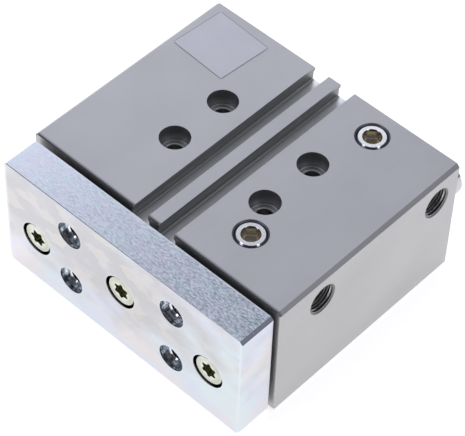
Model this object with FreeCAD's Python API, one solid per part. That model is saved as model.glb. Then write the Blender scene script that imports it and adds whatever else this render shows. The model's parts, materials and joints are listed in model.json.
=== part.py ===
import FreeCAD, Part
import os
from math import cos, pi, radians, sin, sqrt

# Guided pneumatic cylinder, retracted. Millimetres.
# The origin is the centre of the four bolt holes, on the bottom face of the housing.
# The yoke plate looks towards -Y and moves that way, +X is its right end and +Z is up.

# Driving dimensions

# Cylinder and stroke
bore = 25.0
stroke = 30.0
piston_rod_diameter = 10.0
floor_under_bore = 11.0
roof_over_bore = 7.2
stop_clearance = 0.3

# Housing
bolt_hole_diameter = 5.3
bolt_wall_to_bore = 2.35
bolt_spacing_y = 20.0
bolts_from_front = 36.5
head_seat_diameter = 9.4
head_seat_depth = 5.5
head_seat_chamfer = 0.25
upper_edge_chamfer = 1.1
edge_break = 0.3
mouth_chamfer = 0.5

# Sensor slots
slot_spacing = 10.0
slot_opening = 5.6
slot_lip = 1.5
slot_undercut = 0.5
slot_depth = 5.4
slot_corner_radius = 0.4

# Ports and plugs, with the largest diameter of their pipe thread
port_diameter = 9.73
port_depth = 9.0
port_mouth_diameter = 10.3
plug_mouth_diameter = 10.6
port_wall_over_bush = 0.7
front_port_from_front = 17.75
rear_port_from_rear = 9.2
front_plug_from_front = 15.3
rear_plug_from_rear = 9.4
plug_from_guide = 11.5
air_way_diameter = 5.0
air_way_into_bore = 1.0
plug_length = 6.0
plug_face_diameter = 8.3
plug_recess = 0.1
plug_hexagon = 5.0
plug_hexagon_turn = 41.0
plug_socket_mouth = 5.9
plug_socket_depth = 3.5

# Guide rods and their ball bushes
guide_rod_diameter = 14.0
guide_from_bolts = 16.5
guide_side_wall = 3.5
guide_height = 18.4
guide_rod_stand_out = 13.6
guide_rod_chamfer = 1.0
bush_length = 28.0
bush_sleeve_wall = 1.3
ball_diameter = 1.6
ball_rows = 4
balls_per_row = 5
ball_pitch = 3.6
cage_end_gap = 0.3
guide_wiper_length = 3.0
wiper_inset = 0.5
wiper_rim = 0.6
middle_clearance = 1.0

# Yoke plate
plate_thickness = 12.2
plate_gap = 1.25
plate_side_inset = 1.2
plate_bottom_inset = 0.25
plate_top_inset = 1.1
plate_end_chamfer = 1.0
plate_rim_chamfer = 0.15
rod_seat_depth = 2.5

# Tapped holes of the plate, with their centring bores
tool_spacing_x = 40.0
tool_spacing_z = 20.0
tool_pattern_height = 21.4
tool_thread_diameter = 6.0
centring_diameter = 9.0
centring_depth = 2.1

# Plate screws with a six-lobe socket
screw_diameter = 6.0
screw_head_diameter = 10.4
screw_head_height = 4.2
screw_head_recess = 0.45
screw_head_chamfer = 0.5
screw_head_room = 11.2
screw_hole_diameter = 6.4
screw_grip = 12.0
tapping_reserve = 1.2
lobe_tip_diameter = 5.6
lobe_root_diameter = 4.0
lobe_shoulder_diameter = 4.9
lobe_half_angle = 13.0
lobe_turns = {"left": 0.0, "middle": 30.0, "right": 30.0}
lobe_depth = 3.0
small_chamfer = 0.3

# Rod gland, end cap and their retaining rings
ring_inset = 1.2
ring_thickness = 1.2
ring_groove_depth = 0.75
ring_width = 2.0
ring_ear_radius = 2.0
ring_ear_reach = 2.1
ring_eye_diameter = 1.6
ring_gap_half_angle = 14.0
ring_ear_angle = 24.0
gland_length = 13.7
end_cap_length = 5.4
o_ring_section = 1.76
o_ring_groove_width = 2.4
rod_seal_length = 4.2
rod_seal_wall = 2.9
rod_lip_length = 1.05
rod_lip_slope = 0.42
rod_bush_length = 8.0
rod_bush_wall = 1.15

# Piston
piston_half_length = 6.2
magnet_length = 3.0
magnet_outer_diameter = 21.0
hub_diameter = 10.0
spigot_diameter = 6.0
piston_seal_width = 2.8
piston_seal_depth = 2.8
piston_seal_inset = 1.6
buffer_length = 3.0
buffer_outer_diameter = 20.0
rear_buffer_hole = 13.2
nut_across_flats = 10.0
nut_thickness = 3.0
nut_room_diameter = 12.4

# Clearances
press_clearance = 0.03
running_clearance = 0.05
loose_clearance = 0.3
o_ring_clearance = 0.02
ring_clearance = 0.1

# Values worked out from the driving dimensions

V = FreeCAD.Vector

bore_radius = bore / 2
piston_rod_radius = piston_rod_diameter / 2
guide_rod_radius = guide_rod_diameter / 2
bush_radius = guide_rod_radius + running_clearance + ball_diameter + running_clearance + bush_sleeve_wall
port_radius = port_diameter / 2
screw_radius = screw_diameter / 2

bolt_x = bore_radius + bolt_wall_to_bore + bolt_hole_diameter / 2
bolt_y = bolt_spacing_y / 2
guide_x = bolt_x + guide_from_bolts
body_half_width = guide_x + bush_radius + guide_side_wall
bore_height = floor_under_bore + bore_radius
body_height = floor_under_bore + bore + roof_over_bore
port_height = guide_height + bush_radius + port_wall_over_bush + port_radius
plug_x = guide_x - plug_from_guide

piston_length = 2 * piston_half_length + magnet_length
piston_stack = piston_length + 2 * buffer_length + 2 * stop_clearance
end_room = ring_inset + ring_thickness
body_length = 2 * end_room + gland_length + piston_stack + stroke + end_cap_length

front_face = -bolts_from_front
rear_face = front_face + body_length
plate_back = front_face - plate_gap
plate_front = plate_back - plate_thickness
rod_seat = plate_back - rod_seat_depth

gland_front = front_face + end_room
gland_rear = gland_front + gland_length
cap_rear = rear_face - end_room
cap_front = cap_rear - end_cap_length
rear_buffer_rear = cap_front - stop_clearance
piston_rear = rear_buffer_rear - buffer_length
piston_front = piston_rear - piston_length
magnet_front = piston_front + piston_half_length
magnet_rear = magnet_front + magnet_length

bush_inset = wiper_inset + guide_wiper_length
guide_bore_depth = bush_inset + bush_length
guide_rod_rear = rear_face + guide_rod_stand_out

port_places = {
    "front": front_face + front_port_from_front,
    "rear": rear_face - rear_port_from_rear,
}
plug_places = {
    "front": front_face + front_plug_from_front,
    "rear": rear_face - rear_plug_from_rear,
}
guide_places = {"left": -guide_x, "right": guide_x}
bush_places = {
    "front": front_face + bush_inset,
    "rear": rear_face - bush_inset - bush_length,
}


# Helpers

def rod_along(direction, start, length, radius):
    """A round bar from a start point along a direction."""
    return Part.makeCylinder(radius, length, start, direction)


def bar(x, z, y_from, y_to, radius):
    """A round bar along Y."""
    return rod_along(V(0, 1, 0), V(x, y_from, z), y_to - y_from, radius)


def ring(x, z, y_from, y_to, outer_radius, inner_radius):
    """A plain ring or tube along Y."""
    return bar(x, z, y_from, y_to, outer_radius).cut(bar(x, z, y_from, y_to, inner_radius))


def turned(x, z, outline):
    """A turned piece along Y: its half section is given as (radius, y) points."""
    points = [V(x + radius, y, z) for radius, y in outline]
    face = Part.Face(Part.makePolygon(points + points[:1]))
    return face.revolve(V(x, 0, z), V(0, 1, 0), 360)


def cone_mouth(mouth, inward, hole_radius, mouth_radius):
    """The 45 degree chamfer at the mouth of a hole."""
    return Part.makeCone(mouth_radius, hole_radius, mouth_radius - hole_radius, mouth, inward)


def prism(points, direction):
    """A straight prism on a closed outline of points."""
    return Part.Face(Part.makePolygon(points + points[:1])).extrude(direction)


def hexagon(centre, across_flats, first, second, length):
    """A hexagon prism: first and second span its plane, length is its extrusion."""
    corner = across_flats / sqrt(3)
    turns = [radians(60 * k) for k in range(6)]
    points = [centre + first * (corner * cos(t)) + second * (corner * sin(t)) for t in turns]
    return prism(points, length)


def edges_along(shape, axis):
    """The straight edges of a shape that run along an axis."""
    found = []
    for edge in shape.Edges:
        run = edge.lastVertex().Point - edge.firstVertex().Point
        if run.cross(axis).Length < 1e-6:
            found.append(edge)
    return found


def edges_at(shape, axis, places):
    """The edges of a shape that lie flat in a plane across an axis, at one of the places."""
    found = []
    for edge in shape.Edges:
        heights = [vertex.Point.dot(axis) for vertex in edge.Vertexes]
        if any(max(abs(h - place) for h in heights) < 1e-6 for place in places):
            found.append(edge)
    return found


# Housing

def slot_profile(slot_x):
    """The outline of a sensor slot: a narrow mouth over a wider room with round corners."""
    top = body_height
    mouth = slot_opening / 2
    room = mouth + slot_undercut
    shoulder = top - slot_lip
    flare = shoulder - slot_undercut
    floor = top - slot_depth
    corner = slot_corner_radius
    round_off = corner * (1 - cos(pi / 4))

    def at(side, across, height):
        return V(slot_x + side * across, front_face, height)

    def corner_arc(side):
        wall_end = at(side, room, floor + corner)
        middle = at(side, room - round_off, floor + round_off)
        floor_end = at(side, room - corner, floor)
        return Part.Arc(wall_end, middle, floor_end).toShape()

    def half(side):
        corners = [
            at(side, mouth, top),
            at(side, mouth, shoulder),
            at(side, room, flare),
            at(side, room, floor + corner),
        ]
        return Part.makePolygon(corners).Edges + [corner_arc(side)]

    floor_line = Part.makeLine(at(-1, room - corner, floor), at(1, room - corner, floor))
    top_line = Part.makeLine(at(-1, mouth, top), at(1, mouth, top))
    edges = Part.sortEdges(half(-1) + [floor_line] + half(1) + [top_line])[0]
    return Part.Face(Part.Wire(edges))


def slot_cut(slot_x):
    """A sensor slot along the whole housing."""
    return slot_profile(slot_x).extrude(V(0, body_length, 0))


def bolt_cut(x, y):
    """A bolt hole through the housing, with its screw head seat at the top."""
    radius = bolt_hole_diameter / 2
    seat = body_height - head_seat_depth
    down = V(0, 0, -1)
    hole = rod_along(V(0, 0, 1), V(x, y, 0), body_height, radius)
    head = rod_along(V(0, 0, 1), V(x, y, seat), head_seat_depth, head_seat_diameter / 2)
    lead = cone_mouth(V(x, y, seat), down, radius, radius + head_seat_chamfer)
    under = cone_mouth(V(x, y, 0), V(0, 0, 1), radius, radius + small_chamfer)
    return [hole, head, lead, under]


def port_cut(end):
    """A side port, the air way from it to the bore, and the plugged top port that meets it."""
    y = port_places[end]
    plug_y = plug_places[end]
    bore_side = sqrt(bore_radius ** 2 - (port_height - bore_height) ** 2)
    mouth = V(body_half_width, y, port_height)
    top = V(plug_x, plug_y, body_height)
    inward = V(-1, 0, 0)
    down = V(0, 0, -1)
    side_hole = rod_along(inward, mouth, port_depth, port_radius)
    air_way_length = body_half_width - bore_side + air_way_into_bore
    air_way = rod_along(inward, mouth, air_way_length, air_way_diameter / 2)
    side_lead = cone_mouth(mouth, inward, port_radius, port_mouth_diameter / 2)
    top_hole = rod_along(down, top, body_height - port_height, port_radius)
    top_lead = cone_mouth(top, down, port_radius, plug_mouth_diameter / 2)
    return [side_hole, air_way, side_lead, top_hole, top_lead]


def bore_cut():
    """The cylinder bore with the grooves of its two retaining rings."""
    groove_radius = bore_radius + ring_groove_depth
    front_groove = front_face + ring_inset
    rear_groove = cap_rear
    lead_radius = bore_radius + mouth_chamfer
    front_mouth = V(0, front_face, bore_height)
    rear_mouth = V(0, rear_face, bore_height)
    return [
        bar(0, bore_height, front_face, rear_face, bore_radius),
        bar(0, bore_height, front_groove, front_groove + ring_thickness, groove_radius),
        bar(0, bore_height, rear_groove, rear_groove + ring_thickness, groove_radius),
        cone_mouth(front_mouth, V(0, 1, 0), bore_radius, lead_radius),
        cone_mouth(rear_mouth, V(0, -1, 0), bore_radius, lead_radius),
    ]


def guide_bore_cut(x):
    """A guide bore: a bush seat from each end and a narrower middle that stops the bushes."""
    seat_radius = bush_radius + press_clearance
    middle_radius = guide_rod_radius + middle_clearance
    lead_radius = seat_radius + mouth_chamfer
    return [
        bar(x, guide_height, front_face, front_face + guide_bore_depth, seat_radius),
        bar(x, guide_height, rear_face - guide_bore_depth, rear_face, seat_radius),
        bar(x, guide_height, front_face, rear_face, middle_radius),
        cone_mouth(V(x, front_face, guide_height), V(0, 1, 0), seat_radius, lead_radius),
        cone_mouth(V(x, rear_face, guide_height), V(0, -1, 0), seat_radius, lead_radius),
    ]


def housing():
    """The block with everything that is milled and drilled in it."""
    corner = V(-body_half_width, front_face, 0)
    block = Part.makeBox(2 * body_half_width, body_length, body_height, corner)
    upper = [edge for edge in edges_along(block, V(0, 1, 0)) if edge.CenterOfMass.z > bore_height]
    block = block.makeChamfer(upper_edge_chamfer, upper)
    lower = [edge for edge in edges_along(block, V(0, 1, 0)) if edge.CenterOfMass.z < bore_height]
    ends = edges_at(block, V(0, 1, 0), [front_face, rear_face])
    block = block.makeChamfer(edge_break, lower + ends)
    cuts = bore_cut()
    for x in guide_places.values():
        cuts += guide_bore_cut(x)
    for x in (-slot_spacing / 2, slot_spacing / 2):
        cuts.append(slot_cut(x))
    for x in (-bolt_x, bolt_x):
        for y in (-bolt_y, bolt_y):
            cuts += bolt_cut(x, y)
    for end in port_places:
        cuts += port_cut(end)
    return block.cut(cuts)


def port_plug(end):
    """A headless plug in a top port, with a hexagon socket that is countersunk."""
    radius = port_radius - press_clearance
    face_radius = plug_face_diameter / 2
    top = V(plug_x, plug_places[end], body_height - plug_recess)
    down = V(0, 0, -1)
    edge = radius - face_radius
    rim = Part.makeCone(face_radius, radius, edge, top, down)
    body = rod_along(down, top + down * edge, plug_length - edge, radius)
    turn = radians(plug_hexagon_turn)
    to_corner = V(cos(turn), sin(turn), 0)
    socket = hexagon(top, plug_hexagon, to_corner, down.cross(to_corner), down * plug_socket_depth)
    lead = cone_mouth(top, down, plug_hexagon / 2, plug_socket_mouth / 2)
    return rim.fuse(body).cut([socket, lead]).removeSplitter()


# Cylinder ends

def o_ring(y):
    """A round-section ring between a groove and the bore."""
    section = o_ring_section / 2
    middle = bore_radius - o_ring_clearance - section
    return Part.makeTorus(middle, section, V(0, y, bore_height), V(0, 1, 0))


def o_ring_groove(y):
    """The groove that holds an O-ring."""
    half = o_ring_groove_width / 2
    bottom = bore_radius - o_ring_section - press_clearance
    return ring(0, bore_height, y - half, y + half, bore_radius, bottom)


def retaining_ring(y):
    """A spring ring with a gap between two ears, which have holes for pliers."""
    outer = bore_radius + ring_groove_depth - ring_clearance
    inner = bore_radius - ring_width
    along = V(0, 1, 0)
    plate = ring(0, bore_height, y, y + ring_thickness, outer, inner)
    half_gap = radians(ring_gap_half_angle)
    reach = bore
    edge_x = reach * sin(half_gap)
    edge_z = bore_height - reach * cos(half_gap)
    wedge = [V(0, y, bore_height), V(-edge_x, y, edge_z), V(edge_x, y, edge_z)]
    plate = plate.cut(prism(wedge, V(0, ring_thickness, 0)))
    eyes = []
    for side in (-1, 1):
        turn = radians(ring_ear_angle)
        radius = bore_radius - ring_ear_reach
        place = V(side * radius * sin(turn), y, bore_height - radius * cos(turn))
        plate = plate.fuse(rod_along(along, place, ring_thickness, ring_ear_radius))
        eyes.append(rod_along(along, place, ring_thickness, ring_eye_diameter / 2))
    return plate.cut(eyes).removeSplitter()


def rod_gland():
    """The front end of the bore: it carries the rod bush and the rod seal."""
    outer = bore_radius - running_clearance
    way = piston_rod_radius + loose_clearance
    seal_room = piston_rod_radius + rod_seal_wall + press_clearance
    bush_room = piston_rod_radius + rod_bush_wall + running_clearance
    seal_end = gland_front + rod_seal_length
    bush_end = gland_rear - rod_bush_length
    body = turned(0, bore_height, [
        (seal_room, gland_front),
        (outer - mouth_chamfer, gland_front),
        (outer, gland_front + mouth_chamfer),
        (outer, gland_rear - mouth_chamfer),
        (outer - mouth_chamfer, gland_rear),
        (bush_room, gland_rear),
        (bush_room, bush_end),
        (way, bush_end),
        (way, seal_end),
        (seal_room, seal_end),
    ])
    return body.cut(o_ring_groove((gland_front + gland_rear) / 2))


def rod_bush():
    """The plain bush that the piston rod runs in."""
    inner = piston_rod_radius + running_clearance
    outer = inner + rod_bush_wall - press_clearance
    return ring(0, bore_height, gland_rear - rod_bush_length, gland_rear, outer, inner)


def rod_seal():
    """The rod's lip ring: a sealing lip inside and a wiping lip in front."""
    lip = piston_rod_radius + running_clearance
    waist = piston_rod_radius + loose_clearance + running_clearance
    outer = piston_rod_radius + rod_seal_wall
    seal_end = gland_front + rod_seal_length
    return turned(0, bore_height, [
        (lip, gland_front),
        (outer, gland_front),
        (outer, seal_end),
        (lip, seal_end),
        (lip, seal_end - rod_lip_length),
        (waist, seal_end - rod_lip_length - rod_lip_slope),
        (waist, gland_front + rod_lip_length + rod_lip_slope),
        (lip, gland_front + rod_lip_length),
    ])


def end_cap():
    """The rear end of the bore."""
    outer = bore_radius - running_clearance
    body = turned(0, bore_height, [
        (0, cap_front),
        (outer - mouth_chamfer, cap_front),
        (outer, cap_front + mouth_chamfer),
        (outer, cap_rear - mouth_chamfer),
        (outer - mouth_chamfer, cap_rear),
        (0, cap_rear),
    ])
    return body.cut(o_ring_groove((cap_front + cap_rear) / 2))


# Guide bushes

def bush_sleeve(x, y):
    """The hard outer sleeve of a ball bush."""
    edge = small_chamfer
    inner = bush_radius - bush_sleeve_wall
    return turned(x, guide_height, [
        (inner, y),
        (bush_radius - edge, y),
        (bush_radius, y + edge),
        (bush_radius, y + bush_length - edge),
        (bush_radius - edge, y + bush_length),
        (inner, y + bush_length),
    ])


def ball_turns():
    """The angle of each row of balls around the guide rod."""
    return [2 * pi * (row + 0.5) / ball_rows for row in range(ball_rows)]


def ball_cage(x, y):
    """The cage of a ball bush, with a window for each row of balls."""
    outer = bush_radius - bush_sleeve_wall - running_clearance
    inner = guide_rod_radius + loose_clearance
    front = y + cage_end_gap
    rear = y + bush_length - cage_end_gap
    tube = ring(x, guide_height, front, rear, outer, inner)
    run = (balls_per_row - 1) * ball_pitch
    half_run = run / 2 + ball_diameter / 2 + running_clearance
    half_width = ball_diameter / 2 + running_clearance
    middle = y + bush_length / 2
    windows = []
    for turn in ball_turns():
        out = V(cos(turn), 0, sin(turn))
        side = V(-sin(turn), 0, cos(turn)) * half_width
        start = V(x, middle - half_run, guide_height) + out * (inner / 2)
        far = start + out * outer
        corners = [start - side, start + side, far + side, far - side]
        windows.append(prism(corners, V(0, 2 * half_run, 0)))
    return tube.cut(windows)


def bush_balls(x, y):
    """The balls that carry a guide rod in one bush."""
    radius = ball_diameter / 2
    circle = guide_rod_radius + running_clearance + radius
    first = y + bush_length / 2 - (balls_per_row - 1) * ball_pitch / 2
    balls = []
    for turn in ball_turns():
        for k in range(balls_per_row):
            place = V(x + circle * cos(turn), first + k * ball_pitch, guide_height + circle * sin(turn))
            balls.append(Part.makeSphere(radius, place))
    return Part.makeCompound(balls)


def guide_wiper(x, end):
    """The wiper at the mouth of a guide bore, with a lip that slopes out to the rod."""
    outward = -1 if end == "front" else 1
    mouth = front_face if end == "front" else rear_face
    outer_y = mouth - outward * wiper_inset
    inner_y = mouth - outward * bush_inset
    lip = guide_rod_radius + running_clearance
    heel = guide_rod_radius + loose_clearance + running_clearance
    groove = (lip + bush_radius) / 2
    lip_root = (outer_y + inner_y) / 2
    return turned(x, guide_height, [
        (lip, outer_y),
        (lip + small_chamfer, outer_y),
        (groove, lip_root),
        (bush_radius - wiper_rim, outer_y),
        (bush_radius, outer_y),
        (bush_radius, inner_y),
        (heel, inner_y),
        (heel, lip_root),
    ])


# Yoke plate and screws

def screw_places():
    """Where the three plate screws sit, as (x, z), with the turn that each was tightened to."""
    return {
        "left_guide_screw": (-guide_x, guide_height, lobe_turns["left"]),
        "right_guide_screw": (guide_x, guide_height, lobe_turns["right"]),
        "piston_rod_screw": (0, bore_height, lobe_turns["middle"]),
    }


def yoke_plate():
    """The plate that joins the piston rod and the guide rods."""
    width = 2 * (body_half_width - plate_side_inset)
    height = body_height - plate_bottom_inset - plate_top_inset
    corner = V(-width / 2, plate_front, plate_bottom_inset)
    plate = Part.makeBox(width, plate_thickness, height, corner)
    plate = plate.makeChamfer(plate_end_chamfer, edges_along(plate, V(0, 1, 0)))
    rims = edges_at(plate, V(0, 1, 0), [plate_front, plate_back])
    plate = plate.makeChamfer(plate_rim_chamfer, rims)
    seat_radii = {
        "left_guide_screw": guide_rod_radius,
        "right_guide_screw": guide_rod_radius,
        "piston_rod_screw": piston_rod_radius,
    }
    head_depth = screw_head_recess + screw_head_height
    cuts = []
    for name, (x, z, _) in screw_places().items():
        cuts.append(bar(x, z, plate_front, plate_front + head_depth, screw_head_room / 2))
        cuts.append(bar(x, z, plate_front, plate_back, screw_hole_diameter / 2))
        cuts.append(bar(x, z, rod_seat, plate_back, seat_radii[name] + press_clearance))
    for x in (-tool_spacing_x / 2, tool_spacing_x / 2):
        for step in (-tool_spacing_z / 2, tool_spacing_z / 2):
            z = tool_pattern_height + step
            cuts.append(bar(x, z, plate_front, plate_back, tool_thread_diameter / 2))
            cuts.append(bar(x, z, plate_front, plate_front + centring_depth, centring_diameter / 2))
    return plate.cut(cuts)


def six_lobe_outline(x, y, z, first_lobe):
    """The six-lobe outline of a screw's socket, in a plane across Y, from its first lobe's angle."""
    def at(diameter, angle):
        turn = radians(angle)
        return V(x + diameter / 2 * cos(turn), y, z + diameter / 2 * sin(turn))

    edges = []
    for k in range(6):
        tip = first_lobe + 60 * k
        start = at(lobe_shoulder_diameter, tip - lobe_half_angle)
        end = at(lobe_shoulder_diameter, tip + lobe_half_angle)
        following = at(lobe_shoulder_diameter, tip + 60 - lobe_half_angle)
        edges.append(Part.Arc(start, at(lobe_tip_diameter, tip), end).toShape())
        edges.append(Part.Arc(end, at(lobe_root_diameter, tip + 30), following).toShape())
    return Part.Face(Part.Wire(edges))


def plate_screw(x, z, first_lobe):
    """A screw with a flat cylinder head, which pulls a rod onto its seat in the plate."""
    top = plate_front + screw_head_recess
    under = top + screw_head_height
    end = rod_seat + screw_grip
    head = screw_head_diameter / 2
    edge = small_chamfer
    rim = screw_head_chamfer
    body = turned(x, z, [
        (0, top),
        (head - rim, top),
        (head, top + rim),
        (head, under),
        (screw_radius, under),
        (screw_radius, end - edge),
        (screw_radius - edge, end),
        (0, end),
    ])
    return body.cut(six_lobe_outline(x, top, z, first_lobe).extrude(V(0, lobe_depth, 0)))


def screw_hole_in_rod(x, z):
    """The tapped hole in the front end of a rod."""
    depth = screw_grip + tapping_reserve
    return bar(x, z, rod_seat, rod_seat + depth, screw_radius + press_clearance)


# Rods and piston

def guide_rod(x):
    """A ground guide rod, chamfered at its free end."""
    edge = guide_rod_chamfer
    body = turned(x, guide_height, [
        (0, rod_seat),
        (guide_rod_radius - small_chamfer, rod_seat),
        (guide_rod_radius, rod_seat + small_chamfer),
        (guide_rod_radius, guide_rod_rear - edge),
        (guide_rod_radius - edge, guide_rod_rear),
        (0, guide_rod_rear),
    ])
    return body.cut(screw_hole_in_rod(x, guide_height))


def piston_rod():
    """The piston rod: its thin rear end passes through the piston to the nut."""
    spigot = spigot_diameter / 2
    spigot_end = piston_rear
    body = turned(0, bore_height, [
        (0, rod_seat),
        (piston_rod_radius - small_chamfer, rod_seat),
        (piston_rod_radius, rod_seat + small_chamfer),
        (piston_rod_radius, piston_front),
        (spigot, piston_front),
        (spigot, spigot_end - small_chamfer),
        (spigot - small_chamfer, spigot_end),
        (0, spigot_end),
    ])
    return body.cut(screw_hole_in_rod(0, bore_height))


def seal_groove(y):
    """The groove of a piston seal, from a front edge at y."""
    bottom = bore_radius - piston_seal_depth - running_clearance - press_clearance
    width = piston_seal_width + press_clearance
    return ring(0, bore_height, y, y + width, bore_radius, bottom)


def seal_fronts():
    """The front edge of each piston seal's groove."""
    return {
        "front": piston_front + piston_seal_inset,
        "rear": piston_rear - piston_seal_inset - piston_seal_width,
    }


def piston_front_half():
    """The front half of the piston, with the hub that carries the magnet."""
    outer = bore_radius - loose_clearance
    hole = spigot_diameter / 2 + press_clearance
    body = ring(0, bore_height, piston_front, magnet_front, outer, hole)
    hub = ring(0, bore_height, magnet_front, magnet_rear, hub_diameter / 2, hole)
    return body.fuse(hub).cut(seal_groove(seal_fronts()["front"])).removeSplitter()


def piston_rear_half():
    """The rear half of the piston, with the room for the nut."""
    outer = bore_radius - loose_clearance
    hole = spigot_diameter / 2 + press_clearance
    body = ring(0, bore_height, magnet_rear, piston_rear, outer, hole)
    nut_room = bar(0, bore_height, piston_rear - nut_thickness, piston_rear, nut_room_diameter / 2)
    return body.cut([nut_room, seal_groove(seal_fronts()["rear"])])


def piston_magnet():
    """The ring magnet between the piston halves."""
    inner = hub_diameter / 2 + press_clearance
    return ring(0, bore_height, magnet_front, magnet_rear, magnet_outer_diameter / 2, inner)


def piston_guide_ring():
    """The bearing band over the magnet, which keeps the piston off the bore."""
    inner = magnet_outer_diameter / 2 + press_clearance
    outer = bore_radius - running_clearance
    return ring(0, bore_height, magnet_front, magnet_rear, outer, inner)


def piston_seal(end):
    """A lip seal, open towards the pressure side."""
    pressure_side = -1 if end == "front" else 1
    front = seal_fronts()[end]
    pressure_y = front if pressure_side < 0 else front + piston_seal_width
    heel_y = front + piston_seal_width if pressure_side < 0 else front
    outer = bore_radius - running_clearance
    inner = outer - piston_seal_depth
    middle = (outer + inner) / 2
    heel = outer - loose_clearance
    valley = (pressure_y + heel_y) / 2
    return turned(0, bore_height, [
        (inner, heel_y),
        (heel, heel_y),
        (outer, valley),
        (outer, pressure_y),
        (outer - loose_clearance, pressure_y),
        (middle, valley),
        (inner + loose_clearance, pressure_y),
        (inner, pressure_y),
    ])


def buffer_ring(y, hole_radius):
    """An elastic ring that stops the piston softly."""
    outer = buffer_outer_diameter / 2
    return ring(0, bore_height, y, y + buffer_length, outer, hole_radius)


def piston_nut():
    """The nut that holds the piston halves on the rod."""
    centre = V(0, piston_rear - nut_thickness, bore_height)
    body = hexagon(centre, nut_across_flats, V(1, 0, 0), V(0, 0, 1), V(0, nut_thickness, 0))
    hole = spigot_diameter / 2 + press_clearance
    return body.cut(bar(0, bore_height, piston_rear - nut_thickness, piston_rear, hole))


# All pieces, each under its own name

pieces = {
    "housing": housing(),
    "rod_gland": rod_gland(),
    "rod_bush": rod_bush(),
    "rod_seal": rod_seal(),
    "gland_o_ring": o_ring((gland_front + gland_rear) / 2),
    "gland_retaining_ring": retaining_ring(front_face + ring_inset),
    "end_cap": end_cap(),
    "end_cap_o_ring": o_ring((cap_front + cap_rear) / 2),
    "end_cap_retaining_ring": retaining_ring(cap_rear),
    "yoke_plate": yoke_plate(),
    "piston_rod": piston_rod(),
    "piston_front_half": piston_front_half(),
    "piston_rear_half": piston_rear_half(),
    "piston_magnet": piston_magnet(),
    "piston_guide_ring": piston_guide_ring(),
    "piston_nut": piston_nut(),
    "front_buffer": buffer_ring(piston_front - buffer_length, piston_rod_radius + loose_clearance),
    "rear_buffer": buffer_ring(piston_rear, rear_buffer_hole / 2),
}
for end in ("front", "rear"):
    pieces[end + "_port_plug"] = port_plug(end)
    pieces[end + "_piston_seal"] = piston_seal(end)
    for side, x in guide_places.items():
        name = end + "_" + side
        pieces[name + "_bush_sleeve"] = bush_sleeve(x, bush_places[end])
        pieces[name + "_ball_cage"] = ball_cage(x, bush_places[end])
        pieces[name + "_balls"] = bush_balls(x, bush_places[end])
        pieces[name + "_wiper"] = guide_wiper(x, end)
for side, x in guide_places.items():
    pieces[side + "_guide_rod"] = guide_rod(x)
for name, (x, z, first_lobe) in screw_places().items():
    pieces[name] = plate_screw(x, z, first_lobe)

os.makedirs("parts", exist_ok=True)
for name, shape in pieces.items():
    shape.exportStep("parts/" + name + ".step")
print(len(pieces), "pieces, housing", 2 * body_half_width, "x", body_length, "x", body_height)
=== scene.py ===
# %% [markdown]
# # A guided pneumatic cylinder
# An aluminium block holds a 25 mm air cylinder between two rods that run in ball bushes.
# A steel yoke plate joins the three rods in front and carries the tool. The frame brings every
# piece as a solid of its own. This lesson gives the pieces their finishes, cuts the threads that
# the solids leave plain, lays a bare label film on the top and sets up the photograph's view.

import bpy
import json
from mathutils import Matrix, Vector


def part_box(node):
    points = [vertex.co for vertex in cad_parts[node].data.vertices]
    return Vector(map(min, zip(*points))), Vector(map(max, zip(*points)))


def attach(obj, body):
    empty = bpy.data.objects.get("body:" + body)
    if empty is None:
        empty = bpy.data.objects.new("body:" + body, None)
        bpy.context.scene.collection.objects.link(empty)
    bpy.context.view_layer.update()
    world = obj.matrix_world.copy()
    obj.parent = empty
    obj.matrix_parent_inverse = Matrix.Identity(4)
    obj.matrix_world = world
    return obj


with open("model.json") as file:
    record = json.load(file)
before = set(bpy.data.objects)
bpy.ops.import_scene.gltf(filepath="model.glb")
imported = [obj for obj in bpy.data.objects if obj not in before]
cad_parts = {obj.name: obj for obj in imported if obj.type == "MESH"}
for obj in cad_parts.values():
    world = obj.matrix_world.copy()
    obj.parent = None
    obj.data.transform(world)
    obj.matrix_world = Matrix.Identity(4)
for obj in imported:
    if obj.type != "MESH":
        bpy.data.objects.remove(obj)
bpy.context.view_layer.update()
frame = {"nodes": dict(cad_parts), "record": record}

import json
import math

import bmesh
import bpy
from mathutils import Matrix, Vector

MM = 0.001
nodes = frame["nodes"]

# %% [markdown]
# ## Sums that draw
# A finish is a sum: some grain, plus some streaks, less a worn patch. Here one output of a node
# is a wire, and plain arithmetic on wires adds the nodes that work it out. Every other node comes
# from one method, which sets the node up first and then fills its inputs with values or wires.

# %% Wires
def fill(node, inputs):
    """Give each named input of a node its value, or link it where the value is a wire."""
    for name, value in inputs.items():
        if isinstance(value, Wire):
            value.tree.links.new(value.socket, node.inputs[name])
        else:
            node.inputs[name].default_value = value


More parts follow.
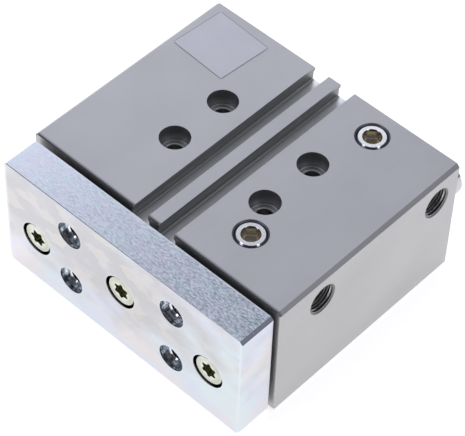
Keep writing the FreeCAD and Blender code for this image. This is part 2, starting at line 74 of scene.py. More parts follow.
class Wire:
    """One output of a node. Sums with it add Math nodes, and node() adds any other node."""

    def __init__(self, tree, socket=None):
        self.tree = tree
        self.socket = socket

    def node(self, kind, inputs, output=0, **settings):
        made = self.tree.nodes.new(kind)
        for name, value in settings.items():
            setattr(made, name, value)
        fill(made, inputs)
        return Wire(self.tree, made.outputs[output])

    def math(self, operation, first, second=0.0):
        return self.node("ShaderNodeMath", {0: first, 1: second}, operation=operation)

    def __add__(self, other):
        return self.math("ADD", self, other)

    def __radd__(self, other):
        return self.math("ADD", other, self)

    def __sub__(self, other):
        return self.math("SUBTRACT", self, other)

    def __rsub__(self, other):
        return self.math("SUBTRACT", other, self)

    def __mul__(self, other):
        return self.math("MULTIPLY", self, other)

    def __rmul__(self, other):
        return self.math("MULTIPLY", other, self)

    def __abs__(self):
        return self.math("ABSOLUTE", self)

    def ramp(self, start, end):
        """0 before start, 1 after end and a smooth step between them."""
        ends = {"Value": self, "From Min": start, "From Max": end}
        return self.node("ShaderNodeMapRange", ends, interpolation_type="SMOOTHSTEP")

    def mix(self, first, second):
        """The colour between two colours that this amount gives."""
        colours = {0: self, 6: first, 7: second}
        return self.node("ShaderNodeMix", colours, output=2, data_type="RGBA")


# %% [markdown]
# ## Where a mark sits
# Marks follow how a piece was made. Drawn and ground faces have long grains, turned faces have
# rings round their axis, and blasted or plated ones have a fine even grain. All of them are laid
# out in millimetres on the piece itself, so that they stay put when the plate slides out.

# %% Grains, rings and faces
def start_finish(name):
    """A new material, its shader and the place on the piece in millimetres."""
    material = bpy.data.materials.new(name)
    material.use_nodes = True
    tree = Wire(material.node_tree)
    metres = tree.node("ShaderNodeTexCoord", {}, output="Object")
    place = tree.node("ShaderNodeVectorMath", {0: metres, "Scale": 1 / MM}, operation="SCALE")
    return material, material.node_tree.nodes["Principled BSDF"], place


def split(vector):
    """The x, y and z of a vector."""
    parts = vector.node("ShaderNodeSeparateXYZ", {0: vector})
    return [Wire(vector.tree, output) for output in parts.socket.node.outputs]


def grain(place, lengths, detail=2.0):
    """Random values about 0.5, in grains with these lengths along x, y and z."""
    counts = [1 / length for length in lengths]
    scaled = place.node("ShaderNodeVectorMath", {0: place, 1: counts}, operation="MULTIPLY")
    return place.node("ShaderNodeTexNoise", {"Vector": scaled, "Scale": 1.0, "Detail": detail})


def from_axis(across, along, first, second):
    """The distance from an axis that passes through a point of the plane across it."""
    square = (across - first) * (across - first) + (along - second) * (along - second)
    return square.math("SQRT", square)


def rings(distance, width, detail=3.0):
    """Random rings of about this width."""
    inputs = {"W": distance * (1 / width), "Scale": 1.0, "Detail": detail}
    return distance.node("ShaderNodeTexNoise", inputs, noise_dimensions="1D")


def band(distance, start, end, soft=0.05):
    """1 between two distances and 0 beyond them."""
    return distance.ramp(start - soft, start + soft) * (1 - distance.ramp(end - soft, end + soft))


def tilt(place, axis):
    """How far a face looks along an axis, either way: 1 straight along it and 0 across it."""
    normal = place.node("ShaderNodeNewGeometry", {}, output="Normal")
    return abs(split(normal)["xyz".index(axis)])


def facing(place, axis):
    """1 on the faces that look along an axis, either way, and 0 on the others."""
    return tilt(place, axis).ramp(0.8, 0.95)


def relief(height, depth):
    """The normal of a surface with this relief, of a depth in millimetres."""
    inputs = {"Height": height, "Distance": depth * MM, "Strength": 1.0}
    return height.node("ShaderNodeBump", inputs)


finishes = {}

# %% [markdown]
# The marks also need to know where the holes are. The frame tells: a rod, plug or screw lies on
# the axis of its hole, and the mounts of the part give the bolt holes, the tool holes, the ports
# and the slots. The holes come in mirrored pairs, so one distance serves two or four of them.

# %% Axes
mounts = {mount["name"]: mount for mount in frame["record"]["mounts"]}


def middle(node):
    """The middle of a piece in millimetres."""
    low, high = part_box(node)
    return (low + high) / (2 * MM)


def mount_at(name):
    """The place of a mount in millimetres."""
    return Vector(mounts[name]["pos_m"]) / MM


def mount_pattern(name):
    """Half the spacings of a pattern of four holes."""
    sizes = mounts[name]["dims"]
    return sizes["spacing_x_mm"] / 2, sizes["spacing_y_mm"] / 2


body_low, body_high = (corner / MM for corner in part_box("housing"))
plate_low, plate_high = (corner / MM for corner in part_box("yoke_plate"))
guide, bore = middle("right_guide_rod"), middle("piston_rod")
plugs = middle("front_port_plug"), middle("rear_port_plug")
ports = mount_at("front_port"), mount_at("rear_port")
tools = mount_at("tool_threads")


def guide_axis(x, y, z):
    return from_axis(abs(x), z, guide.x, guide.z)


def bore_axis(x, y, z):
    return from_axis(x, z, bore.x, bore.z)


def rod_axes(x, y, z):
    guide_distance = guide_axis(x, y, z)
    return guide_distance.math("MINIMUM", guide_distance, bore_axis(x, y, z))


def bolt_axes(x, y, z):
    return from_axis(abs(x), abs(y), *mount_pattern("body_bolts"))


def tool_axes(x, y, z):
    return from_axis(abs(x), abs(z - tools.z), *mount_pattern("tool_threads"))


def pair_axes(y, other, pair, height):
    """The distance from two axes that differ only in y."""
    halfway = (pair[0].y + pair[1].y) / 2
    return from_axis(abs(y - halfway), other, pair[1].y - halfway, height)


def plug_axes(x, y, z):
    return pair_axes(y, x, plugs, plugs[0].x)


def port_axes(x, y, z):
    return pair_axes(y, z, ports, ports[0].z)


print("guide rods at", [round(value, 2) for value in guide], "and ports at", ports)

# %% [markdown]
# ## Anodised aluminium
# The housing is a drawn bar, milled to length and blasted before it is anodised. The drawing leaves
# faint streaks along it, the mill leaves lines across the two ends, and the blasting covers all of it
# with a fine even grain that makes the grey look soft. The upper edge next to the plate looks dark
# and soft in the photograph, so a narrow band of painted shade darkens the finish there.

# %% Housing
DARK_EDGE_WIDTH = 1.2

material, shader, place = start_finish("anodised aluminium")
x, y, z = split(place)
blasted = grain(place, (0.3, 0.3, 0.3), 3.0)
drawn = grain(place, (0.7, 70.0, 0.7))
milled = grain(place, (25.0, 1.0, 0.5))
cloud = grain(place, (22.0, 30.0, 22.0))
on_ends = facing(place, "y")
lines = on_ends * milled + (1 - on_ends) * drawn
tone = 0.4 * blasted + 0.15 * lines + 0.45 * cloud
skin = tone.ramp(0.25, 0.75).mix((0.49, 0.485, 0.49, 1), (0.565, 0.56, 0.565, 1))
# Painted shade: a narrow dark band on the top along its front edge, next to the plate.
painted_edge_shade = (1 - (y - body_low.y).ramp(-0.1, DARK_EDGE_WIDTH)) * tilt(place, "z").ramp(0.4, 0.6)
skin = painted_edge_shade.mix(skin, (0.05, 0.05, 0.06, 1))
print("housing", [round(side, 1) for side in body_high - body_low], "mm")

# %% [markdown]
# The head seats and the sensor slots are cut after the bar is drawn, and no blasting reaches into
# them. Their metal is painted darker than the skin, as painted shade in the recesses. The seats keep
# rings of the tool, and two thin rings on each seat floor are painted highlights.

# %% Head seats
SEAT_RADIUS = 4.7

hole_radius = mounts["body_bolts"]["dims"]["hole_r_mm"]
seat_distance = bolt_axes(x, y, z)
in_seat = z.ramp(0.1, 0.3) * (1 - seat_distance.ramp(SEAT_RADIUS + 0.02, SEAT_RADIUS + 0.1))
turned_marks = rings(seat_distance - z, 0.35)
# Painted shade: the seat's metal is darker than the skin.
seat_metal = turned_marks.ramp(0.3, 0.7).mix((0.34, 0.34, 0.35, 1), (0.50, 0.50, 0.505, 1))
# Painted highlights: a thin ring at the hole's edge and one near the seat's wall.
painted_seat_glints = 0.7 * band(seat_distance, hole_radius, hole_radius + 0.3)
painted_seat_glints = painted_seat_glints + band(seat_distance, SEAT_RADIUS - 0.75, SEAT_RADIUS - 0.45)
seat_metal = painted_seat_glints.mix(seat_metal, (0.92, 0.92, 0.90, 1))
print("head seats", 2 * SEAT_RADIUS, "mm wide over holes of", 2 * hole_radius, "mm")

# %% [markdown]
# The slots keep fine lines along them. Painted light and shade make a slot lightest on its floor, a
# little to each side of the middle, and darkest on its walls. A thin painted highlight runs along
# each wall's foot, where the wall rounds into the floor.

# %% Sensor slots
SLOT_ROOM, SLOT_DEPTH, SLOT_CORNER = 3.3, 5.4, 0.4

slot_distance = abs(abs(x) - mount_at("right_sensor_slot").x)
in_slot = (1 - slot_distance.ramp(SLOT_ROOM, SLOT_ROOM + 0.1)) * (1 - on_ends)
in_slot = in_slot * z.ramp(body_high.z - SLOT_DEPTH - 0.3, body_high.z - SLOT_DEPTH - 0.1)
slot_marks = grain(place, (0.3, 60.0, 0.3), 3.0)
# Painted shade: the slot's metal is much darker than the skin.
slot_metal = slot_marks.ramp(0.3, 0.7).mix((0.18, 0.18, 0.18, 1), (0.38, 0.38, 0.375, 1))
above_floor = z - body_high.z + SLOT_DEPTH
flat = facing(place, "z")
# Painted light on the slot floor, lightest a little to each side of the middle.
slot_floor_light = 0.75 + 0.2 * slot_distance.ramp(0.6, 1.6) - 0.6 * slot_distance.ramp(2.0, 2.9)
slot_floor_light = flat * (1 - above_floor.ramp(0.1, 0.4)) * slot_floor_light
# Painted highlight: a thin light line along each wall's foot.
wall_foot_highlight = (1 - flat) * (1 - above_floor.ramp(SLOT_CORNER + 0.1, SLOT_CORNER + 0.25))
wall_foot_highlight = wall_foot_highlight * (0.05 + 0.6 * above_floor.ramp(0.08, 0.2))
slot_metal = (slot_floor_light + wall_foot_highlight).mix(slot_metal, (0.97, 0.97, 0.96, 1))
print("sensor slots", 2 * SLOT_ROOM, "mm wide inside and", SLOT_DEPTH, "mm deep")

# %% [markdown]
# The mouths round the plugs and the side ports are painted dark, as painted shade. With them the
# housing's finish is whole: its skin, the bare cuts and the shaded mouths share one shader.

# %% Mouths and the whole housing
PLUG_MOUTH, PORT_MOUTH = 5.3, 5.15

port_radius = mounts["front_port"]["dims"]["r_mm"]
cut = (body_high.z - z).ramp(0.05, 0.3) * in_seat.math("MAXIMUM", in_seat, in_slot)
bare = in_seat.mix(slot_metal, seat_metal)
plug_mouth = band(plug_axes(x, y, z), port_radius, PLUG_MOUTH)
plug_mouth = plug_mouth * band(body_high.z - z, 0.04, 1.0, 0.02)
port_mouth = band(port_axes(x, y, z), port_radius, PORT_MOUTH)
port_mouth = port_mouth * band(body_high.x - x, 0.03, 0.4, 0.02)
# Painted shade round the mouths of the plugs and the side ports.
mouth_shade = plug_mouth.math("MAXIMUM", plug_mouth, 0.85 * port_mouth)
marks = in_seat * turned_marks + (1 - in_seat) * slot_marks
fill(shader, {
    "Base Color": mouth_shade.mix(cut.mix(skin, bare), (0.19, 0.19, 0.22, 1)),
    "Metallic": 1.0,
    "Roughness": 0.42 + 0.10 * blasted + 0.04 * lines - 0.08 * cut,
    "Normal": relief((1 - cut) * (blasted + 0.25 * lines) + 1.5 * cut * marks, 0.010),
})
finishes["anodised_aluminium"] = material
print(material.name, len(material.node_tree.nodes), "nodes")

# %% [markdown]
# ## Bright zinc
# The yoke plate is a ground steel bar under a thin layer of passivated zinc. The passivation is
# thinner than a wave of light, so it tints the plate: lavender as a whole, with pale pink and
# greenish clouds. The narrow top keeps the lines of the grinding wheel, and painted shade darkens its
# dark lines towards the right end, so they are faintest at the left end. A painted highlight runs
# along the top's rear edge.

# %% Yoke plate
material, shader, place = start_finish("bright zinc")
x, y, z = split(place)
ground = grain(place, (0.9, 0.2, 0.2), 3.0)
crystals = grain(place, (0.45, 0.45, 0.45), 3.0)
pink_cloud = grain(place, (17.0, 17.0, 11.0), 3.0)
green_cloud = grain(place, (24.0, 9.0, 14.0))
tint = pink_cloud.ramp(0.42, 0.62).mix((0.65, 0.685, 0.785, 1), (0.715, 0.685, 0.70, 1))
tint = (0.8 * green_cloud.ramp(0.48, 0.7)).mix(tint, (0.65, 0.73, 0.755, 1))
along = (x - plate_low.x) * (1 / (plate_high.x - plate_low.x))
light_line = along.mix((0.765, 0.795, 0.85, 1), (0.75, 0.805, 0.86, 1))
# Painted shade: the dark lines of the top grow darker towards the right end.
shaded_dark_line = along.mix((0.65, 0.695, 0.765, 1), (0.27, 0.30, 0.335, 1))
streaks = ground.ramp(0.34, 0.66).mix(shaded_dark_line, light_line)
veil = grain(place, (7.0, 5.0, 7.0)).ramp(0.4, 0.6)
veil = veil.mix((0.98, 1.015, 1.01, 1), (1.02, 0.985, 1.015, 1))
streaks = streaks.node("ShaderNodeVectorMath", {0: streaks, 1: veil}, operation="MULTIPLY")
# Painted highlight along the rear edge of the top.
streaks = (0.5 * (y - plate_high.y).ramp(-0.9, -0.4)).mix(streaks, (0.80, 0.83, 0.87, 1))
on_top = facing(place, "z")
print("yoke plate", [round(side, 1) for side in plate_high - plate_low], "mm")

# %% [markdown]
# Most of the front's upper part is a little grey, partly wear and partly painted shade, with
# cream-coloured stains. Painted highlights brighten the upright edges and the rims round the holes.
# The long broken edges above and below are painted darker, as painted shade.

# %% Wear, painted shade and painted highlights of the plate
CENTRING_RADIUS = 4.5
HEAD_ROOM = 5.6
GREY_CENTRE, GREY_LENGTH, GREY_HEIGHT = (-14.0, 30.0), 80.0, 25.0

tool_distance, head_distance = tool_axes(x, y, z), rod_axes(x, y, z)
grey_x = (x - GREY_CENTRE[0]) * (1 / GREY_LENGTH)
grey_z = (z - GREY_CENTRE[1]) * (1 / GREY_HEIGHT)
wisps = grain(place, (12.0, 12.0, 8.0), 4.0)
# Partly wear and partly painted shade: the front's upper part goes a little grey.
wear_and_shade = 1 - (from_axis(grey_x, grey_z, 0.0, 0.0) + 1.4 * wisps).ramp(0.9, 1.8)
stains = grain(place, (10.0, 10.0, 6.0), 6.0).ramp(0.52, 0.58) * wear_and_shade
tint = (0.9 * wear_and_shade).mix(tint, (0.52, 0.51, 0.515, 1))
tint = (0.35 * stains).mix(tint, (0.75, 0.70, 0.64, 1))
# Painted highlights on the upright edges of the front and round the holes.
edges = band(tool_distance, CENTRING_RADIUS, CENTRING_RADIUS + 0.4, 0.3)
edges = edges + band(head_distance, HEAD_ROOM, HEAD_ROOM + 0.4, 0.3)
edges = edges + 2 * abs(x).ramp(plate_high.x - 1.4, plate_high.x - 0.4) * facing(place, "y")
tint = (0.25 * edges).mix(tint, (0.76, 0.81, 0.83, 1))
# Painted shade on the long broken edges above and below.
long_edge_shade = band(tilt(place, "y"), 0.5, 0.85) * band(tilt(place, "z"), 0.5, 0.85)
tint = (long_edge_shade * (1 - tool_distance.math("LESS_THAN", tool_distance, HEAD_ROOM))).mix(
    tint, (0.20, 0.21, 0.24, 1)
)
print("worn front", GREY_LENGTH, "by", GREY_HEIGHT, "mm about", GREY_CENTRE)

# %% [markdown]
# The grinding wheel never gets into the holes. Their walls are bored, with fine rings and the facets
# that a chattering tool leaves, and along these marks the zinc is painted from dark to bright as
# painted glints and shade. The deep rooms of the screw heads are painted almost black, as painted
# shade.

# %% Holes in the plate
inside = (y - plate_low.y).ramp(0.05, 0.2)
bored = inside * (1 - tool_distance.ramp(CENTRING_RADIUS + 0.03, CENTRING_RADIUS + 0.1))
recess = inside * (1 - head_distance.ramp(HEAD_ROOM + 0.03, HEAD_ROOM + 0.1))
chatter = grain(place, (1.1, 2.2, 1.1))
bore_marks = 0.4 * rings(tool_distance - y, 0.6) + 0.6 * chatter
smooth = bored.math("MAXIMUM", bored, recess)
outside = (on_top * (1 - smooth)).mix(tint, streaks)
# Painted glints and shade along the marks of the bored walls.
walls = bore_marks.ramp(0.42, 0.58).mix((0.30, 0.35, 0.42, 1), (0.98, 0.99, 1.0, 1))
# Painted shade: the screw heads' rooms are almost black.
plated = recess.mix(bored.mix(outside, walls), (0.10, 0.10, 0.11, 1))
lines = ground * (0.12 + 0.88 * on_top) * (1 - smooth)
fill(shader, {
    "Base Color": plated,
    "Metallic": 1.0,
    "Roughness": 0.20 + 0.10 * crystals + 0.10 * lines - 0.08 * smooth,
    "Normal": relief(0.4 * crystals + lines + 6.0 * bored * bore_marks, 0.010),
})
finishes["zinc_plate"] = material
print(material.name, len(material.node_tree.nodes), "nodes")

# %% [markdown]
# ## Screws, plugs and rods
# The plate screws are zinc plated with a straw tint, the port plugs are bright nickel, and the
# rods are hardened and ground. They are all turned, so each one has rings round its own axis.
# Pieces that come in pairs share a finish: the distance is measured from the mirrored axis.

# %% Turned pieces
RING_WIDTH = 0.12


def turned_finish(slot, name, axes, dark, light, rough, depth, shade=None):
    """A bright turned metal: axes gives the distance from the piece's axis, shade its sockets and
    painted shade and highlights.
    """
    material, shader, place = start_finish(name)
    x, y, z = split(place)
    distance = axes(x, y, z)
    marks = rings(distance, RING_WIDTH)
    spots = grain(place, (0.5, 0.5, 0.5), 3.0)
    cloud = grain(place, (4.0, 4.0, 4.0))
    tone = 0.4 * marks + 0.3 * spots + 0.3 * cloud
    colour = tone.ramp(0.3, 0.7).mix(dark, light)
    fill(shader, {
        "Base Color": shade(colour, distance, y, z) if shade else colour,
        "Metallic": 1.0,
        "Roughness": rough + 0.5 * rough * spots + 0.4 * rough * marks,
        "Normal": relief(marks + 0.6 * spots, depth),
    })
    finishes[slot] = material
    print(name, len(material.node_tree.nodes), "nodes")


turned_finish(
    "ground_rod", "ground rod", rod_axes,
    (0.44, 0.445, 0.45, 1), (0.57, 0.575, 0.58, 1), 0.10, 0.002,
)
turned_finish(
    "gland_aluminium", "turned aluminium", bore_axis,
    (0.48, 0.48, 0.49, 1), (0.64, 0.64, 0.65, 1), 0.24, 0.012,
)
turned_finish(
    "bearing_steel", "bearing steel", guide_axis,
    (0.40, 0.40, 0.42, 1), (0.56, 0.56, 0.58, 1), 0.14, 0.003,
)
turned_finish(
    "bush_bronze", "sintered bronze", bore_axis,
    (0.36, 0.22, 0.09, 1), (0.56, 0.37, 0.18, 1), 0.32, 0.012,
)
turned_finish(
    "spring_steel", "phosphated spring steel", bore_axis,
    (0.045, 0.045, 0.05, 1), (0.11, 0.11, 0.12, 1), 0.34, 0.008,
)

# %% [markdown]
# Screws and plugs have a socket for the key. It is pressed, not turned, and looks olive brown,
# darkened as painted shade. In the plugs the socket has painted shade at its upper end, over a floor
# painted paler as painted light. The mouth of a screw's socket has a painted highlight, and the rim
# round a screw's head is painted near black, as painted shade. The slope round a plug is painted
# dark, as painted shade.

# %% Screws and plugs
SCREW_SOCKET, SCREW_RIM = 2.85, 4.95
PLUG_SOCKET, PLUG_FACE, PLUG_SHADE, PLUG_FLOOR = 2.95, 4.15, 1.0, 3.4

head_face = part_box("piston_rod_screw")[0].y / MM
plug_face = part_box("front_port_plug")[1].z / MM


def screw_shade(colour, distance, y, z):
    # Painted highlight round the mouth of a screw's socket.
    socket_rim_highlight = 0.4 * band(distance, SCREW_SOCKET - 0.6, SCREW_SOCKET + 0.3, 0.15)
    # Painted shade: the screw's socket is darker olive brown.
    socket = (y - head_face).ramp(0.05, 0.4) * (1 - distance.ramp(SCREW_SOCKET, SCREW_SOCKET + 0.1))
    face = socket.mix(socket_rim_highlight.mix(colour, (0.86, 0.87, 0.80, 1)), (0.46, 0.46, 0.32, 1))
    # Painted shade: the rim round the screw's head is near black.
    return distance.ramp(SCREW_RIM, SCREW_RIM + 0.08).mix(face, (0.055, 0.055, 0.04, 1))


def plug_shade(colour, distance, y, z):
    depth = plug_face - z
    socket = depth.ramp(0.01, 0.05) * (1 - distance.ramp(PLUG_SOCKET, PLUG_SOCKET + 0.1))
    # Painted light: the socket's floor is paler than its walls.
    socket_wall_and_lit_floor = depth.ramp(PLUG_FLOOR - 0.3, PLUG_FLOOR)
    socket_wall_and_lit_floor = socket_wall_and_lit_floor.mix((0.60, 0.53, 0.39, 1), (1.0, 0.96, 0.87, 1))
    # Painted shade at the socket's upper end.
    shaded = (1 - depth.ramp(0.3, PLUG_SHADE)) * socket
    # Painted shade on the slope round the plug.
    slope_shade = distance.ramp(PLUG_FACE, PLUG_FACE + 0.1)
    inner = (0.85 * shaded).mix(socket.mix(colour, socket_wall_and_lit_floor), (0.10, 0.085, 0.07, 1))
    return slope_shade.mix(inner, (0.20, 0.20, 0.235, 1))


turned_finish(
    "screw_zinc", "straw zinc", rod_axes,
    (0.42, 0.44, 0.37, 1), (0.75, 0.765, 0.66, 1), 0.20, 0.006, screw_shade,
)
turned_finish(
    "plug_nickel", "bright nickel", plug_axes,
    (0.82, 0.81, 0.80, 1), (0.95, 0.94, 0.94, 1), 0.13, 0.003, plug_shade,
)

# %% [markdown]
# ## Rubber, plastic and film
# The seals and buffers are matt black rubber with a trace of moulding grain and grease. The ball
# cages and the piston's guide ring are natural plastic. The label is a bare satin film with a thin
# dark line along its border, drawn below.

# %% Dull pieces
def dull_finish(slot, name, dark, light, rough, size):
    """A matt moulded material with a fine grain and larger clouds."""
    material, shader, place = start_finish(name)
    fine = grain(place, (size, size, size), 3.0)
    cloud = grain(place, (6.0, 6.0, 6.0))
    tone = 0.5 * fine + 0.5 * cloud
    fill(shader, {
        "Base Color": tone.ramp(0.3, 0.7).mix(dark, light),
        "Roughness": rough + 0.2 * cloud - 0.1 * fine,
        "Normal": relief(fine, 0.02),
    })
    finishes[slot] = material
    print(name, len(material.node_tree.nodes), "nodes")


dull_finish(
    "seal_rubber", "seal rubber", (0.010, 0.010, 0.011, 1), (0.030, 0.030, 0.032, 1), 0.42, 0.25,
)
dull_finish(
    "cage_plastic", "natural plastic", (0.52, 0.49, 0.40, 1), (0.66, 0.63, 0.54, 1), 0.40, 0.5,
)
dull_finish(
    "magnet_black", "bonded magnet", (0.018, 0.018, 0.020, 1), (0.045, 0.045, 0.05, 1), 0.50, 0.3,
)

# %% [markdown]
# Each solid now takes the finish of its slot. The shapes of the frame stay as they are.

# %% Dress the solids
for part in frame["record"]["subparts"]:
    mesh = nodes[part["node"]].data
    mesh.materials.clear()
    mesh.materials.append(finishes[part["material_slot"]])
print(len(finishes), "finishes on", len(nodes), "pieces")

# %% [markdown]
# ## Tapped walls
# The ports and the plate's holes are plain in the solids, at the largest radius of their threads.
# A tapped wall is made as a ring of its own: the outline of the thread is turned once round the
# axis while it climbs by one pitch, which makes every turn at once. Two flat cuts trim it to
# length, and the two rims are bridged along the hole's wall. In the ports, whose mouths are
# countersunk, the crests start lower and grow over the first turn.

# %% Thread
WALL_GAP = 0.012
TURN_STEPS = 60
CREASE = math.radians(30.0)


def shade_by_angle(bm):
    """Smooth faces that meet in an edge wherever they turn by more than a crease."""
    for face in bm.faces:
        face.smooth = True
    for edge in bm.edges:
        edge.smooth = edge.calc_face_angle(0.0) < CREASE


def put_in(name, bm, body, material):
    """Make a piece of a finished mesh in millimetres, which rides on a body."""
    bmesh.ops.recalc_face_normals(bm, faces=bm.faces)
    shade_by_angle(bm)
    bmesh.ops.scale(bm, vec=(MM, MM, MM), verts=bm.verts)
    mesh = bpy.data.meshes.new(name)
    bm.to_mesh(mesh)
    bm.free()
    mesh.materials.append(material)
    piece = bpy.data.objects.new(name, mesh)
    bpy.context.collection.objects.link(piece)
    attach(piece, body)
    return piece


def tapped_wall(mouth, inward, wall, crest, pitch, turns, lead, first=1.0):
    """The thread of a hole, from its mouth inward, as a closed ring. The crests start at a share."""
    wall = wall - WALL_GAP
    root = wall - 0.06 * pitch
    shape = [(0.0, root), (1 / 8, root), (7 / 16, crest), (11 / 16, crest)]
    bm = bmesh.new()
    section = []
    for turn in range(-2, turns + 2):
        for share, radius in shape:
            section.append(bm.verts.new((radius, 0.0, (turn + share) * pitch)))
    edges = [bm.edges.new(pair) for pair in zip(section, section[1:])]
    climb = Vector((0.0, 0.0, pitch / TURN_STEPS))
    bmesh.ops.spin(
        bm, geom=section + edges, axis=(0, 0, 1), angle=math.tau, steps=TURN_STEPS, dvec=climb
    )
    bmesh.ops.remove_doubles(bm, verts=bm.verts, dist=1e-4)
    for vert in bm.verts:
        grown = min(1.0, max(first, vert.co.z / pitch))
        radius = vert.co.xy.length
        vert.co.xy *= (wall - (wall - radius) * grown) / radius
    length = turns * pitch
    for height, outward in ((0.0, -1.0), (length, 1.0)):
        everything = bm.verts[:] + bm.edges[:] + bm.faces[:]
        bmesh.ops.bisect_plane(
            bm, geom=everything, dist=1e-5, plane_co=(0, 0, height), plane_no=(0, 0, outward),
            clear_outer=True,
        )
    rims = [edge for edge in bm.edges if edge.is_boundary]
    drawn_out = bmesh.ops.extrude_edge_only(bm, edges=rims)["geom"]
    for vert in drawn_out:
        if isinstance(vert, bmesh.types.BMVert):
            side = Vector((vert.co.x, vert.co.y, 0.0)).normalized() * wall
            end = -lead if vert.co.z < length / 2 else length + lead
            vert.co = side + Vector((0.0, 0.0, end))
    bmesh.ops.bridge_loops(bm, edges=[edge for edge in bm.edges if edge.is_boundary])
    turn = Vector((0, 0, 1)).rotation_difference(inward).to_matrix().to_4x4()
    start = mouth + inward * lead
    bmesh.ops.transform(bm, matrix=Matrix.Translation(start) @ turn, verts=bm.verts)
    return bm


# %% [markdown]
# The side ports have the 0.907 mm pitch of a small pipe thread. The plate's four holes have a coarse
# metric thread below their centring bores, under the zinc. In both, painted highlights lie on the
# crests and painted shade in the roots.

# %% Threads in the ports and in the plate
PORT_CREST, PORT_PITCH, PORT_TURNS = 4.28, 0.907, 8
PORT_SINK, PORT_LEAD, PORT_FIRST_CREST = 0.3, 0.1, 0.7
PORT_MOUTH_SHADE = 1.0, 3.0
TOOL_CREST, TOOL_PITCH, TOOL_TURNS, TOOL_LEAD = 2.46, 1.0, 9, 0.45


def thread_finish(name, axes, crest, root, dark, light, rough, mouth=None):
    """Tapped metal: painted highlights on the crests, and painted shade in the roots and, to a share,
    at the mouth.
    """
    material, shader, place = start_finish(name)
    x, y, z = split(place)
    distance = axes(x, y, z)
    spots = grain(place, (0.8, 0.8, 0.8), 3.0)
    scratches = rings(distance, RING_WIDTH)
    # Painted shade in the roots and, in the ports, at the mouth; the crests keep the light colour as
    # painted highlights.
    root_and_mouth_shade = distance.ramp(crest + 0.05, root)
    if mouth:
        root_and_mouth_shade = root_and_mouth_shade + 0.6 * (1 - (body_high.x - x).ramp(*mouth))
    fill(shader, {
        "Base Color": (root_and_mouth_shade + 0.6 * scratches + 1.2 * spots - 0.9).mix(light, dark),
        "Metallic": 1.0,
        "Roughness": rough + 0.5 * rough * spots,
        "Normal": relief(spots + scratches, 0.006),
    })
    print(name, len(material.node_tree.nodes), "nodes")
    return material


tool_radius = mounts["tool_threads"]["dims"]["hole_r_mm"]
tapped_aluminium = thread_finish(
    "tapped aluminium", port_axes, PORT_CREST, port_radius,
    (0.18, 0.18, 0.18, 1), (0.90, 0.90, 0.90, 1), 0.30, PORT_MOUTH_SHADE,
)
tapped_zinc = thread_finish(
    "tapped zinc", tool_axes, TOOL_CREST, tool_radius,
    (0.24, 0.26, 0.30, 1), (0.95, 0.96, 0.98, 1), 0.14,
)
for end, port in zip(("front", "rear"), ports):
    mouth = Vector((body_high.x - PORT_SINK, port.y, port.z))
    thread = tapped_wall(
        mouth, Vector((-1, 0, 0)), port_radius, PORT_CREST,
        PORT_PITCH, PORT_TURNS, PORT_LEAD, PORT_FIRST_CREST,
    )
    name = end + "_port_thread"
    piece = put_in(name, thread, "cylinder_body", tapped_aluminium)
    print(piece.name, len(piece.data.polygons), "faces")

half_x, half_z = mount_pattern("tool_threads")
for level, step in (("lower", -half_z), ("upper", half_z)):
    for side, tool_x in (("left", -half_x), ("right", half_x)):
        mouth = Vector((tool_x, tools.y, tools.z + step))
        thread = tapped_wall(
            mouth, Vector((0, 1, 0)), tool_radius, TOOL_CREST, TOOL_PITCH, TOOL_TURNS, TOOL_LEAD,
        )
        name = level + "_" + side + "_tool_thread"
        piece = put_in(name, thread, "yoke_carriage", tapped_zinc)
print(piece.name, len(piece.data.polygons), "faces")

# %% [markdown]
# ## Label film
# A bare satin film sits near the rear left corner, stuck on by hand and a little askew. Its border is
# a thin dark line. It is about as thin as a hair, so it is one rectangle with rounded corners, drawn
# up by its thickness.

# %% Film
FILM_WIDTH, FILM_LENGTH, FILM_THICK = 20.9, 19.4, 0.06
FILM_TURN, FILM_CENTRE = -3.7, (-33.85, 26.4)
FILM_CORNER, FILM_GAP = 0.8, 0.002
CUT_EDGE = 0.20, 0.30

material, shader, place = start_finish("label film")
turned_place = place.node(
    "ShaderNodeVectorRotate",
    {"Vector": place, "Center": (*FILM_CENTRE, 0.0), "Angle": math.radians(-FILM_TURN)},
    rotation_type="Z_AXIS",
)
film_x, film_y = split(turned_place)[:2]
to_side = FILM_WIDTH / 2 - abs(film_x - FILM_CENTRE[0])
to_end = FILM_LENGTH / 2 - abs(film_y - FILM_CENTRE[1])
border = 1 - to_side.math("MINIMUM", to_side, to_end).ramp(*CUT_EDGE)
fibre = grain(place, (0.25, 0.25, 0.25), 3.0)
haze = grain(place, (9.0, 9.0, 9.0))
satin = (0.5 * fibre + 0.5 * haze).ramp(0.3, 0.7)
satin = satin.mix((0.53, 0.52, 0.555, 1), (0.59, 0.58, 0.615, 1))
fill(shader, {
    "Base Color": (0.65 * border).mix(satin, (0.16, 0.16, 0.17, 1)),
    "Metallic": 0.9,
    "Roughness": 0.34 + 0.1 * fibre + 0.1 * haze,
    "Normal": relief(fibre, 0.004),
})

film = bmesh.new()
bmesh.ops.create_grid(film, x_segments=1, y_segments=1, size=0.5)
bmesh.ops.scale(film, vec=(FILM_WIDTH, FILM_LENGTH, 1), verts=film.verts)
bmesh.ops.bevel(
    film, geom=film.verts[:], offset=FILM_CORNER, offset_type="OFFSET", affect="VERTICES",
    segments=5, profile=0.5, material=-1,
)
raised = bmesh.ops.extrude_face_region(film, geom=film.faces[:])["geom"]
raised = [vert for vert in raised if isinstance(vert, bmesh.types.BMVert)]
bmesh.ops.translate(film, vec=(0, 0, FILM_THICK), verts=raised)
askew = Matrix.Rotation(math.radians(FILM_TURN), 4, "Z")
film_place = Vector((*FILM_CENTRE, body_high.z + FILM_GAP))
bmesh.ops.transform(film, matrix=Matrix.Translation(film_place) @ askew, verts=film.verts)
piece = put_in("label_film", film, "cylinder_body", material)
print(piece.name, len(piece.data.polygons), "faces")

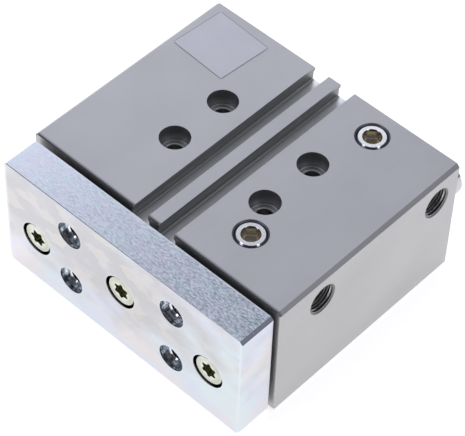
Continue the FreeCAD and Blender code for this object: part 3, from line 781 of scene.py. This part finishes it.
# %% [markdown]
# ## Floor and light
# The object stands on a white table in a soft studio: a large box of light at the left behind
# it, a smaller one overhead, small lamps in front and at the right, and dim walls that grow
# brighter towards the left box. Metal shows what is around it, so the upright faces mirror the
# white table, and the flat tops mirror the edge of the left box and the wall behind it. The small
# lamps glint on the rims of holes and plugs.
# The table adds light of its own to what the camera and the metal see of it, which makes it
# white and keeps the shadow.

# %% Floor
FLOOR_SIZE = 3.0
FLOOR_LIFT = 0.74
FLOOR_LIFT_IN_METAL = 0.82
FLOOR_DROP = 0.00002

floor_mesh = bmesh.new()
bmesh.ops.create_grid(floor_mesh, x_segments=1, y_segments=1, size=FLOOR_SIZE)
mesh = bpy.data.meshes.new("floor")
floor_mesh.to_mesh(mesh)
floor_mesh.free()
floor = bpy.data.objects.new("floor", mesh)
floor.location.z = -FLOOR_DROP
bpy.context.collection.objects.link(floor)

material, shader, place = start_finish("white table")
ray = place.node("ShaderNodeLightPath", {}, output="Is Camera Ray")
glossy = Wire(ray.tree, ray.socket.node.outputs["Is Glossy Ray"])
through = Wire(ray.tree, ray.socket.node.outputs["Is Transmission Ray"])
lift = FLOOR_LIFT * ray + FLOOR_LIFT_IN_METAL * glossy.math("MAXIMUM", glossy, through)
fill(shader, {
    "Base Color": (0.83, 0.82, 0.80, 1),
    "Roughness": 0.9,
    "Specular IOR Level": 0.0,
    "Emission Color": lift.mix((0, 0, 0, 1), (1, 1, 1, 1)),
    "Emission Strength": 1.0,
})
mesh.materials.append(material)
print(floor.name, 2 * FLOOR_SIZE, "m wide")

# %% World and lamps
TOWARDS_LEFT_BOX = (-0.60, 0.68, 0.42)
LAMP_COLOUR = (0.95, 0.965, 1.085)
LAMP_TARGET = Vector((0.0, 0.0, 0.02))

world = bpy.data.worlds.new("studio")
bpy.context.scene.world = world
world.use_nodes = True
sky = Wire(world.node_tree)
direction = sky.node("ShaderNodeTexCoord", {}, output="Generated")
towards_box = direction.node(
    "ShaderNodeVectorMath", {0: direction, 1: TOWARDS_LEFT_BOX},
    output="Value", operation="DOT_PRODUCT",
)
room = towards_box.ramp(-0.4, 1.0).mix((0.10, 0.10, 0.11, 1), (0.52, 0.54, 0.60, 1))
seen = sky.node("ShaderNodeLightPath", {}, output="Is Camera Ray")
through = Wire(seen.tree, seen.socket.node.outputs["Is Transmission Ray"])
backdrop = seen.math("MAXIMUM", seen, through)
background = {"Color": backdrop.mix(room, (1, 1, 1, 1)), "Strength": 1.0}
fill(world.node_tree.nodes["Background"], background)


def softbox(name, place, size, brightness):
    """A square box of light that looks at the object; brightness is that of its face."""
    lamp = bpy.data.lights.new(name, "AREA")
    lamp.shape = "SQUARE"
    lamp.size = size
    lamp.energy = brightness * math.pi * size * size
    lamp.color = LAMP_COLOUR
    box = bpy.data.objects.new(name, lamp)
    box.location = place
    box.rotation_euler = (LAMP_TARGET - box.location).to_track_quat("-Z", "Y").to_euler()
    box.visible_camera = False
    bpy.context.collection.objects.link(box)
    print(name, size, "m")


softbox("left_box", Vector((-0.74, 0.54, 0.42)), 0.9, 0.86)
softbox("top_box", Vector((0.0, 0.0, 0.95)), 0.6, 0.5)
softbox("front_lamp", Vector((-0.28, -0.80, 0.56)), 0.24, 5.0)
softbox("right_lamp", Vector((0.82, 0.04, 0.58)), 0.20, 5.0)

# %% [markdown]
# ## The photograph's view
# The camera stands in front on the right and looks down at about 49 degrees, turned by a little
# over two degrees about its own line of sight. Its place comes from a fit of the object's edges
# and hole centres to the photograph.

# %% Camera
CAMERA_PLACE = Vector((0.2758083, -0.3165911, 0.5027456))
AZIMUTH, ELEVATION, ROLL = (math.radians(angle) for angle in (41.387, 49.3517, 2.3333))
LENS, SENSOR = 169.4265, 36.0

back = Vector((
    math.sin(AZIMUTH) * math.cos(ELEVATION),
    -math.cos(AZIMUTH) * math.cos(ELEVATION),
    math.sin(ELEVATION),
))
level = Vector((math.cos(AZIMUTH), math.sin(AZIMUTH), 0.0))
right = level * math.cos(ROLL) + back.cross(level) * math.sin(ROLL)
up = back.cross(right)
lens = bpy.data.cameras.new("photograph")
lens.sensor_fit = "HORIZONTAL"
lens.sensor_width = SENSOR
lens.lens = LENS
lens.clip_start, lens.clip_end = 0.01, 20.0
camera = bpy.data.objects.new("photograph", lens)
turn = Matrix((right, up, back)).transposed().to_4x4()
camera.matrix_world = Matrix.Translation(CAMERA_PLACE) @ turn
bpy.context.collection.objects.link(camera)
bpy.context.scene.camera = camera
bpy.context.scene.view_settings.view_transform = "Standard"
print(camera.name, "through a", round(LENS), "mm lens")
